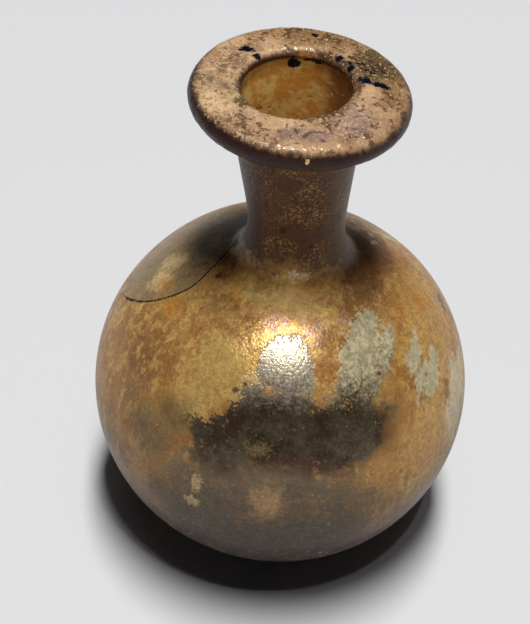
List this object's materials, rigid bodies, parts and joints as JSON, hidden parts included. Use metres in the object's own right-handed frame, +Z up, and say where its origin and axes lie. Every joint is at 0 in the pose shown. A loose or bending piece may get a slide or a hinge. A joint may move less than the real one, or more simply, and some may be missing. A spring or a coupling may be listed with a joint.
{
  "type": "glass perfume flask",
  "caption": "Hollow globular flask of weathered amber glass, with a narrow flaring neck, a thick folded collar rim and an old crack across its shoulder.",
  "frame": {"origin": "middle of the small flat base, on the surface that the flask stands on", "axes": "+Z up through the mouth, -Y towards the front that the picture shows, +X to the front's right"},
  "size_m": [0.064, 0.064, 0.0929],
  "materials": {
    "weathered_glass": "amber glass under a golden, partly grey and pitted weathering crust, glossy on the globe and dull on the collar"
  },
  "bodies": {
    "root": {"flask": "weathered_glass"}
  },
  "joints": []
}
